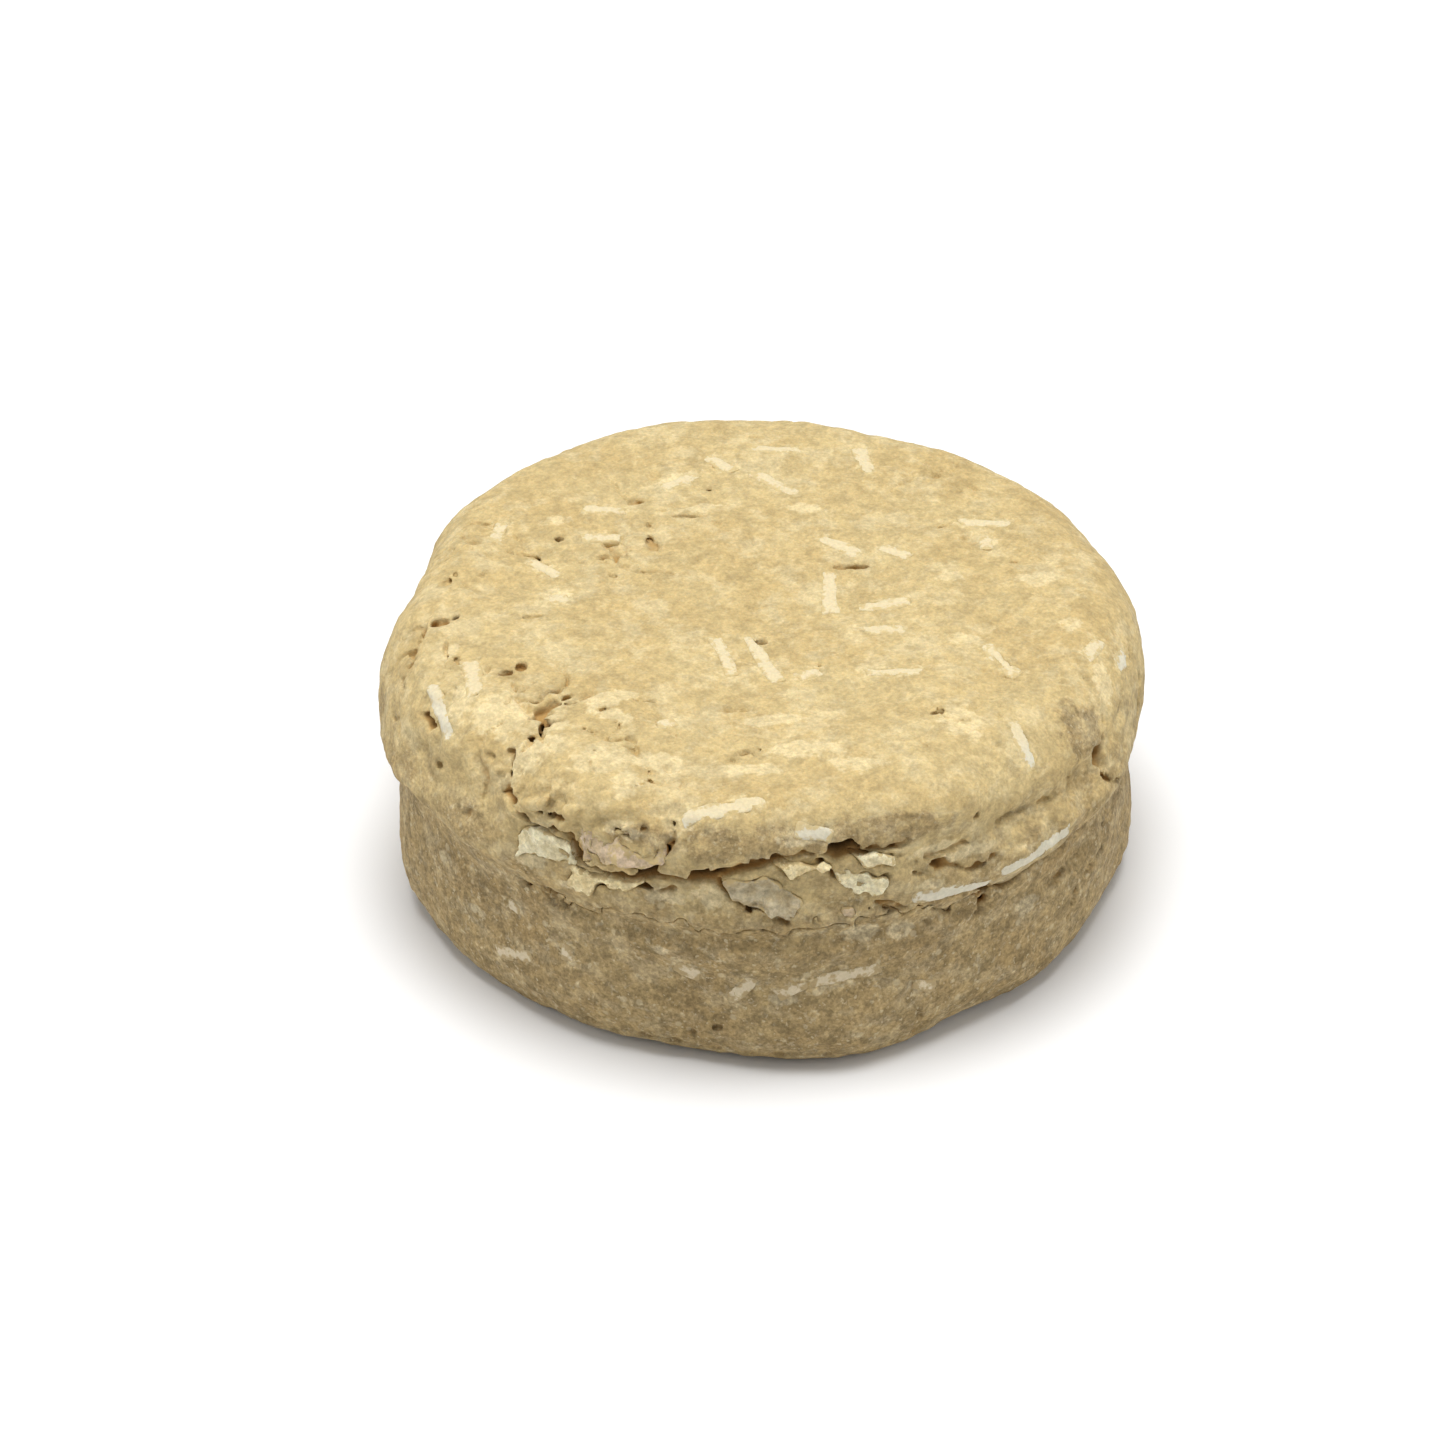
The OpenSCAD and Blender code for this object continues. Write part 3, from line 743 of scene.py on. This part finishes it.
def sculpt_noodle(lift, rod, seed):
    """A noodle bent along the skin of its lift: its surface, and how far it fades out at each point."""
    middle, axis, half, radius = rod
    rng = np.random.default_rng(seed)
    side = across_rod(lift, middle, axis)
    turn = np.array([axis, side, np.cross(axis, side)])
    margin = radius + 0.6
    clay = Clay((-half - 0.6, -margin, -margin - 0.6), (half + 0.6, margin, margin + 0.4), NOODLE_VOXEL)
    bend, slant = rng.uniform(-0.15, 0.15), rng.uniform(-0.4, 0.4)
    world = cell_points(clay.x, clay.y, clay.z) @ turn + middle
    skin = lift.at(lift.skin, world).reshape(clay.shape)
    y = clay.y - bend * (2 * (clay.x / half) ** 2 - 1)
    thick = radius * rng.uniform(0.95, 1.12)
    off = np.hypot(y, skin + SINK_SHARE * radius) - thick + 0.09 * clay.noise(1.4, seed)
    ends = np.abs(clay.x + slant * np.sign(clay.x) * y) - half + 0.12 * clay.noise(0.7, seed + 1)
    face = skin - rng.uniform(0.0, 0.08) + 0.03 * clay.noise(0.6, seed + 2)
    clay.d = soft_max(soft_max(off, ends, 0.25), face, 0.12)
    points, triangles, quads = clay.surface()
    to_side = np.abs(points[:, 1]) / radius
    to_tip = 1 + (np.abs(points[:, 0]) - half) / 1.2
    faint = 0.25 * (middle[2] < FAINT_BELOW) - 0.1 * (half > CLEAN_HALF)
    fade = np.maximum(to_side, to_tip) + rng.uniform(-0.15, 0.15) + faint
    points = points @ turn + middle
    points[:, 2] = np.maximum(points[:, 2], 0)
    return (points, triangles, quads), fade


# How far a flake stands out of the skin, which is more for a few of them.
PROUD = {"peeled_flake": 0.5, "cream_block": 0.2, "upper_crumb": 0.5, "yellow_ledge": 0.2}
USUAL_PROUD = 0.1


def sculpt_flake(lift, node, seed):
    """The clay of a CAD flake, brought out to the lift's skin and broken along its edges."""
    mesh = NODES[node].data
    points = vertex_points(mesh)
    out = lift.way_out(points.mean(axis=0))
    points = points + 0.8 * out
    mesh.calc_loop_triangles()
    triangles = np.array([t.vertices for t in mesh.loop_triangles], np.uint32)
    low = np.floor((points.min(axis=0) - 1) / FLAKE_VOXEL).astype(int)
    high = np.ceil((points.max(axis=0) + 1) / FLAKE_VOXEL).astype(int)
    clay = Clay(low * FLAKE_VOXEL, (high - 0.5) * FLAKE_VOXEL, FLAKE_VOXEL)
    grid = openvdb.FloatGrid.createLevelSetFromPolygons(
        points.astype(np.float32), triangles=triangles,
        transform=openvdb.createLinearTransform(FLAKE_VOXEL), halfWidth=8)
    grid.copyToArray(clay.d, ijk=tuple(int(i) for i in low))
    clay.d += 0.15 * clay.noise(1.3, seed) + 0.2 * clay.ragged
    clay.sides = clay.d.copy()
    clay.skin = lift.at(lift.skin, cell_points(clay.x, clay.y, clay.z)).reshape(clay.shape)
    rough = 0.15 * clay.noise((1.4, 1.4, 0.7), seed + 1) + 0.15 * (np.abs(clay.noise(0.6, seed + 2)) - 0.8)
    face = clay.skin - PROUD.get(node, USUAL_PROUD) + rough
    clay.d = soft_max(clay.d, face, 0.12)
    dig_front_crack(clay)
    return clay


def dig_flake_bed(lift, flake):
    """Digs the bed of a flake, loose in places, so that a dark gap shows round parts of it."""
    size = flake.voxel * np.array(flake.shape)
    cuts, x, y, z = lift.window(flake.low + size / 2, size.max() / 2)
    cells = cell_points(x, y, z)
    inside = ((cells > flake.low) & (cells < flake.low + size - flake.voxel)).all(axis=1)
    bed = np.where(inside, flake.at(flake.d, cells), 1.0).reshape(lift.d[cuts].shape)
    lift.d[cuts] = np.maximum(lift.d[cuts], 0.1 * lift.ragged[cuts] - 0.02 - bed)


# ---------------------------------------------------------------- what the materials read

def smeared(points, rods):
    """How pale the paste is at each point for the noodles near it, from 0 to 1."""
    pale = np.zeros(len(points), np.float32)
    for middle, axis, half, radius in rods:
        offset = points - middle
        along = offset @ axis
        off = np.linalg.norm(offset - np.outer(along, axis), axis=1)
        gap = np.maximum(off - radius, np.abs(along) - half)
        pale = np.maximum(pale, 0.4 * eased(1 - gap / 1.1))
    return pale


def in_wall_patches(points, patches):
    """How far each point is in the patches of a round face, from 0 to 1."""
    angle, _ = polar(points[:, 0], points[:, 1])
    share = np.zeros(len(points), np.float32)
    for place, z, half_length, half_height in patches:
        away = np.hypot(arc_between(angle, place) / half_length, (points[:, 2] - z) / half_height)
        share = np.maximum(share, eased(1.6 - away))
    return share


def patched(points):
    """How pale the paste is at each point for the patches, from 0 to 1."""
    pale = np.zeros(len(points), np.float32)
    for x, y, half_length, half_width, yaw in TOP_PALE:
        a = math.radians(yaw)
        along = (points[:, 0] - x) * math.cos(a) + (points[:, 1] - y) * math.sin(a)
        across = (points[:, 1] - y) * math.cos(a) - (points[:, 0] - x) * math.sin(a)
        pale = np.maximum(pale, eased(1.6 - np.hypot(along / half_length, across / half_width)))
    pale *= points[:, 2] > RIM_Z + 3
    return np.maximum(pale, in_wall_patches(points, WALL_PALE))


def sculpted_object(node, lift, surface):
    """A node's object, which tells the material how deep each point is below the lift's skin, for the painted
    shade in its hollows.
    """
    obj = surface_object(node + "_sculpted", surface)
    thin(obj)
    set_attribute(obj.data, "hollow", -lift.at(lift.skin, vertex_points(obj.data)))
    return obj


def build_lift(node, lift, rods, flakes, look):
    """A lift, with beds dug in it for the noodles and flakes in its faces."""
    dig_sockets(lift, rods)
    for flake in flakes:
        dig_flake_bed(lift, flake)
    obj = sculpted_object(node, lift, lift.surface())
    points = vertex_points(obj.data)
    set_attribute(obj.data, "pale", np.maximum(smeared(points, rods), patched(points)))
    # Painted shade under the brow and the lip, as patches of the wall's brown.
    set_attribute(obj.data, "brown", in_wall_patches(points, WALL_SHADE_PATCHES))
    stands_for(obj, node, look)


# ---------------------------------------------------------------- materials

class Look:
    """A node material built up by short calls. Sizes are in mm."""

    def __init__(self, name, roughness=0.85, specular=0.2):
        self.material = bpy.data.materials.new(name)
        self.material.use_nodes = True
        self.tree = self.material.node_tree
        self.surface = self.tree.nodes["Principled BSDF"]
        self.surface.inputs["Roughness"].default_value = roughness
        self.surface.inputs["Specular IOR Level"].default_value = specular
        place = self.tree.nodes.new("ShaderNodeTexCoord")
        in_mm = self.tree.nodes.new("ShaderNodeMapping")
        in_mm.inputs["Scale"].default_value = (1 / MM, 1 / MM, 1 / MM)
        self.put(place.outputs["Object"], in_mm.inputs["Vector"])
        self.mm = in_mm.outputs["Vector"]

    def put(self, source, target):
        """Feeds an input from a socket, a number or an (r, g, b)."""
        if isinstance(source, bpy.types.NodeSocket):
            self.tree.links.new(source, target)
        elif isinstance(source, tuple):
            target.default_value = (*source, 1.0)
        else:
            target.default_value = source

    def noise(self, size, detail=3.0, roughness=0.55, stretch=(1, 1, 1)):
        """Noise from 0 to 1 with features about size mm across, longer where stretch is above 1."""
        texture = self.tree.nodes.new("ShaderNodeTexNoise")
        texture.inputs["Scale"].default_value = 1 / size
        texture.inputs["Detail"].default_value = detail
        texture.inputs["Roughness"].default_value = roughness
        mapping = self.tree.nodes.new("ShaderNodeMapping")
        mapping.inputs["Scale"].default_value = tuple(1 / s for s in stretch)
        self.put(self.mm, mapping.inputs["Vector"])
        self.put(mapping.outputs["Vector"], texture.inputs["Vector"])
        return texture.outputs["Fac"]

    def cells(self, size):
        """Scattered cells about size mm across."""
        texture = self.tree.nodes.new("ShaderNodeTexVoronoi")
        texture.inputs["Scale"].default_value = 1 / size
        self.put(self.mm, texture.inputs["Vector"])
        return texture

    def specks(self, spacing, size, share):
        """share in the middle of scattered specks of size mm, and 0 elsewhere."""
        away = self.cells(spacing).outputs["Distance"]
        edge = 0.5 * size / spacing
        return self.ramp(away, 0.6 * edge, 1.2 * edge, share, 0.0)

    def grit(self, size, low, high):
        """A different value from low to high for each grain of about size mm."""
        return self.ramp(self.cells(size).outputs["Color"], 0.25, 0.75, low, high)

    def attribute(self, name):
        node = self.tree.nodes.new("ShaderNodeAttribute")
        node.attribute_name = name
        return node.outputs["Fac"]

    def height_mm(self):
        """Height above the floor in mm."""
        node = self.tree.nodes.new("ShaderNodeSeparateXYZ")
        self.put(self.mm, node.inputs["Vector"])
        return node.outputs["Z"]

    def ramp(self, value, low, high, to_low=0.0, to_high=1.0):
        """value from low to high, mapped smoothly on to to_low to to_high."""
        node = self.tree.nodes.new("ShaderNodeMapRange")
        node.interpolation_type = "SMOOTHSTEP"
        ends = {"From Min": low, "From Max": high, "To Min": to_low, "To Max": to_high}
        for name, end in ends.items():
            node.inputs[name].default_value = end
        self.put(value, node.inputs["Value"])
        return node.outputs["Result"]

    def spread(self, noise, low, high):
        """Noise brought to run from about low to about high, with its rare extremes cut off."""
        return self.ramp(noise, 0.3, 0.7, low, high)

    def ragged_attribute(self, name, noise, reach):
        """An attribute whose edges stray by up to reach either way, along a noise."""
        return self.math("ADD", self.attribute(name), self.spread(noise, -reach, reach))

    def math(self, operation, a, b):
        node = self.tree.nodes.new("ShaderNodeMath")
        node.operation = operation
        self.put(a, node.inputs[0])
        self.put(b, node.inputs[1])
        return node.outputs["Value"]

    def mix(self, share, a, b, how="MIX"):
        node = self.tree.nodes.new("ShaderNodeMix")
        node.data_type = "RGBA"
        node.blend_type = how
        self.put(share, node.inputs[0])
        self.put(a, node.inputs[6])
        self.put(b, node.inputs[7])
        return node.outputs[2]

    def shade(self, base, value):
        """base made darker or lighter by value."""
        return self.mix(1.0, base, value, "MULTIPLY")

    def relief(self, value, depth, below=None):
        """Bump of depth mm for value from 0 to 1, laid over the bump in below."""
        node = self.tree.nodes.new("ShaderNodeBump")
        node.inputs["Distance"].default_value = depth * MM
        self.put(value, node.inputs["Height"])
        if below is not None:
            self.put(below, node.inputs["Normal"])
        return node.outputs["Normal"]

    def waxy(self, weight, radius):
        """Lets light a little way in, the redder the deeper."""
        self.surface.inputs["Subsurface Weight"].default_value = weight
        self.surface.inputs["Subsurface Radius"].default_value = (1.0, 0.6, 0.3)
        self.surface.inputs["Subsurface Scale"].default_value = radius * MM

    def finish(self, base, normal):
        self.put(base, self.surface.inputs["Base Color"])
        self.put(normal, self.surface.inputs["Normal"])
        return self.material


# Painted shade for hollows: warm brown in shallow pits and near black deep in cracks, by depth below the
# skin.
PIT_SHADE = (0.43, 0.255, 0.085)
DEEP_SHADE = (0.13, 0.07, 0.02)
TAN = (0.54, 0.418, 0.203)
CREAM = (0.63, 0.52, 0.295)
OCHRE = (0.49, 0.36, 0.16)
# The wall's colours are the rim's made darker and browner: partly the lower lift's own colour, partly painted
# shade on the upright wall.
BROWN_AND_SHADE = (0.375, 0.275, 0.13)
DULL_CREAM = (0.54, 0.45, 0.28)
DARK_OCHRE = (0.32, 0.225, 0.10)
SOFT_NOODLE = (0.65, 0.55, 0.345)
CHALKY_NOODLE = (0.63, 0.585, 0.455)
WALL_NOODLE = (0.60, 0.51, 0.35)


def shaded_in_hollows(look, base):
    """base with painted shade in its hollows: warm brown a little way below the skin, where shade and bounced
    light fall, and dark deep in the cracks.
    """
    hollow = look.attribute("hollow")
    base = look.mix(look.ramp(hollow, 0.3, 0.9, 0.0, 0.9), base, PIT_SHADE)
    return look.mix(look.ramp(hollow, 0.8, 2.2), base, DEEP_SHADE)


def by_height(look, low_colour, high_colour):
    """low_colour in the wall giving way to high_colour in the rim, along a broken line."""
    height = look.math("ADD", look.height_mm(), look.spread(look.noise(2.2, 4.0), -2.5, 3.5))
    return look.mix(look.ramp(height, 14.0, 28.0), low_colour, high_colour)


def paste(look, main, pale, dark, blotched, contrast):
    """Pressed paste: broad patches, pale blotches and crumbs, and grit whose contrast is 1 or more."""
    base = look.mix(look.ramp(look.noise(8.0, 3.0), 0.35, 0.68, 0.0, 0.8), main, dark)
    blotches = look.noise(2.8, 5.0, 0.65, stretch=(1.2, 1.2, 0.8))
    base = look.mix(look.ramp(blotches, 0.46, 0.64, 0.0, blotched), base, pale)
    base = look.mix(look.ramp(look.noise(0.8, 3.0, 0.6), 0.58, 0.72, 0.0, 0.3 * contrast), base, pale)
    smear = look.ragged_attribute("pale", look.noise(1.0, 4.0, 0.6), 0.4)
    smear = look.ramp(smear, 0.3, 0.9, 0.0, 0.7)
    base = look.mix(smear, base, tuple(1.12 * c for c in pale))
    mottle = look.noise(1.3, 4.0, 0.6)
    base = look.shade(base, look.ramp(mottle, 0.35, 0.62, 1 - 0.13 * contrast, 1.04))
    base = look.shade(base, look.grit(0.4, 1 - 0.05 * contrast, 1 + 0.05 * contrast))
    fine = look.noise(0.3, 3.0, 0.6)
    return look.shade(base, look.spread(fine, 1 - 0.1 * contrast, 1 + 0.07 * contrast))


def paste_look(name):
    """Pressed paste, grittier in the wall than in the rim and the top, and browner and darker there, partly
    its own colour and partly painted shade on the upright wall.
    """
    look = Look(name)
    # The wall's paste, its darkness partly painted shade on the upright wall.
    wall = paste(look, BROWN_AND_SHADE, DULL_CREAM, DARK_OCHRE, 0.3, 2.3)
    wall = look.mix(look.ramp(look.noise(0.55, 2.0), 0.62, 0.72, 0.0, 0.7), wall, DULL_CREAM)
    wall = look.mix(look.specks(2.3, 0.7, 0.5), wall, DULL_CREAM)
    rim = paste(look, TAN, CREAM, OCHRE, 0.6, 1.15)
    rim = look.mix(look.specks(1.9, 0.3, 0.5), rim, OCHRE)
    normal = look.relief(look.noise(1.2, 4.0), 0.14)
    normal = look.relief(look.noise(0.45, 3.0, 0.65), 0.14, normal)
    look.waxy(0.12, 1.0)
    # Painted shade under the brow and the lip: the rim there takes the wall's brown.
    painted_shade = look.ragged_attribute("brown", look.noise(1.5, 4.0, 0.6), 0.4)
    painted_shade = look.ramp(painted_shade, 0.3, 1.0, 0.0, 0.9)
    base = look.mix(painted_shade, by_height(look, wall, rim), wall)
    # Painted shade in the hollows, over the paste's colour.
    return look.finish(shaded_in_hollows(look, base), normal)


def lost_in_paste(look, base, start):
    """base, lost raggedly in the paste's colour where the piece's "fade" goes from start to 1."""
    lost = look.ragged_attribute("fade", look.noise(0.8, 4.0, 0.65), 0.5)
    lost = look.ramp(lost, start, 1.0, 0.05, 0.9)
    # The paste's colour here, with the wall's painted shade below the rim.
    return look.mix(lost, base, by_height(look, BROWN_AND_SHADE, TAN))


def noodle_look():
    """A dry extruded noodle, chalkier in the wall, whose edges are lost in smeared paste."""
    look = Look("noodle", roughness=0.7)
    fine = look.noise(0.3, 3.0, 0.6)
    pale = look.mix(look.ramp(look.height_mm(), 12.0, 16.0), WALL_NOODLE, CHALKY_NOODLE)
    pale = look.mix(look.ramp(look.height_mm(), 26.0, 28.0), pale, SOFT_NOODLE)
    base = lost_in_paste(look, pale, 0.5)
    base = look.shade(base, look.spread(fine, 0.92, 1.05))
    look.waxy(0.15, 0.8)
    return look.finish(base, look.relief(fine, 0.05, look.relief(look.noise(0.8, 3.0), 0.08)))


def flake_look(name, main, second):
    """Broken soap: two close colours in blotches, with a gritty break."""
    look = Look(name)
    grain = look.noise(0.25, 3.0, 0.65)
    base = look.mix(look.ramp(look.noise(1.3, 4.0, 0.6), 0.4, 0.62), main, second)
    base = look.shade(base, look.spread(grain, 0.82, 1.1))
    base = look.shade(base, look.grit(0.5, 0.9, 1.08))
    base = lost_in_paste(look, base, 0.7)
    look.waxy(0.12, 0.8)
    # Painted shade in the hollows, over the flake's colour.
    return look.finish(shaded_in_hollows(look, base), look.relief(grain, 0.06, look.relief(look.noise(0.8, 4.0), 0.12)))


noodle_soap = noodle_look()
FLAKE_LOOKS = {
    "flake_cream": flake_look("flake_cream", (0.80, 0.73, 0.50), (0.66, 0.57, 0.35)),
    "flake_pink": flake_look("flake_pink", (0.59, 0.46, 0.32), (0.52, 0.40, 0.245)),
    "flake_yellow": flake_look("flake_yellow", (0.84, 0.72, 0.43), (0.64, 0.51, 0.27)),
    "flake_grey": flake_look("flake_grey", (0.49, 0.42, 0.28), (0.40, 0.32, 0.185)),
}

# ---------------------------------------------------------------- building the puck

top_lift = sculpt_top()
base_lift = sculpt_base(top_lift)


def lift_at(point):
    return top_lift if point[2] > SEAM_Z else base_lift


noodle_nodes = sorted(n for n in NODES if SLOTS[n] == "noodle" and not n.startswith("inner"))
rods = {node: [laid(lift_at(rod[0]), rod) for rod in cad_rods(node)] for node in noodle_nodes}
flakes = {node: sculpt_flake(top_lift, node, 100 * k)
          for k, node in enumerate(sorted(n for n in NODES if SLOTS[n] in FLAKE_LOOKS))}
every_rod = [rod for own_rods in rods.values() for rod in own_rods]
build_lift("top_layer", top_lift, [r for r in every_rod if lift_at(r[0]) is top_lift], flakes.values(),
           paste_look("paste_upper"))
build_lift("base_layer", base_lift, [r for r in every_rod if lift_at(r[0]) is base_lift], [],
           paste_look("paste_lower"))
for k, (node, own_rods) in enumerate(rods.items()):
    parts = [sculpt_noodle(lift_at(rod[0]), rod, 1000 * (k + 1) + 10 * i) for i, rod in enumerate(own_rods)]
    obj = surface_object(node + "_sculpted", joined([surface for surface, _ in parts]))
    set_attribute(obj.data, "fade", np.concatenate([fade for _, fade in parts]))
    stands_for(obj, node, noodle_soap)
for node, flake in flakes.items():
    obj = sculpted_object(node, top_lift, flake.surface())
    set_attribute(obj.data, "fade", 1 + flake.at(flake.sides, vertex_points(obj.data)) / FLAKE_FADE)
    stands_for(obj, node, FLAKE_LOOKS[SLOTS[node]])
for node in ("inner_noodles_top", "inner_noodles_base"):
    NODES[node].data.materials.clear()
    NODES[node].data.materials.append(noodle_soap)

# ---------------------------------------------------------------- floor, light and camera

MIDDLE = Vector((0, 0, 0.013))
# Low enough for the floor and the base not to lie in one plane.
FLOOR_Z = -0.00002


def floor_piece():
    """A wide pale floor just under the puck."""
    half = 3.0
    mesh = bpy.data.meshes.new("floor")
    corners = [(x, y, FLOOR_Z) for x, y in ((-half, -half), (half, -half), (half, half), (-half, half))]
    mesh.from_pydata(corners, [], [(0, 1, 2, 3)])
    look = Look("floor", roughness=0.9, specular=0.1)
    tone = look.mix(look.noise(60.0, 2.0), (0.82, 0.82, 0.82), (0.84, 0.84, 0.84))
    mesh.materials.append(look.finish(tone, look.relief(look.noise(8.0, 2.0), 0.01)))
    return add_object("floor", mesh)


def area_light(name, place, size, watts):
    light = bpy.data.lights.new(name, "AREA")
    light.shape = "DISK"
    light.size = size
    light.energy = watts
    obj = add_object(name, light)
    obj.location = place
    obj.rotation_euler = (MIDDLE - Vector(place)).to_track_quat("-Z", "Y").to_euler()


floor_piece()
area_light("overhead", (-0.01, -0.03, 0.75), 0.5, 5.95)
for side, x in (("left", -0.5), ("right", 0.5)):
    area_light(side, (x, -0.05, 0.15), 0.4, 0.65)
world = bpy.data.worlds.new("studio")
bpy.context.scene.world = world
world.use_nodes = True
sky = world.node_tree.nodes["Background"].inputs
sky["Color"].default_value = (1.0, 1.0, 1.0, 1.0)
sky["Strength"].default_value = 0.4

scene = bpy.context.scene
scene.view_settings.view_transform = "Standard"
scene.view_settings.look = "None"

# About the photo's angle, 35 degrees down on the front. The distance is assumed.
CAMERA_DISTANCE = 0.4
CAMERA_ELEVATION = math.radians(35)
camera = bpy.data.cameras.new("camera")
camera.sensor_width = 36.0
camera.lens = 107.7
camera.shift_x = -0.0284
camera.shift_y = 0.0038
camera.dof.use_dof = False
camera_object = add_object("camera", camera)
towards_camera = Vector((0, -math.cos(CAMERA_ELEVATION), math.sin(CAMERA_ELEVATION)))
camera_object.location = MIDDLE + CAMERA_DISTANCE * towards_camera
camera_object.rotation_euler = towards_camera.to_track_quat("Z", "Y").to_euler()
scene.camera = camera_object
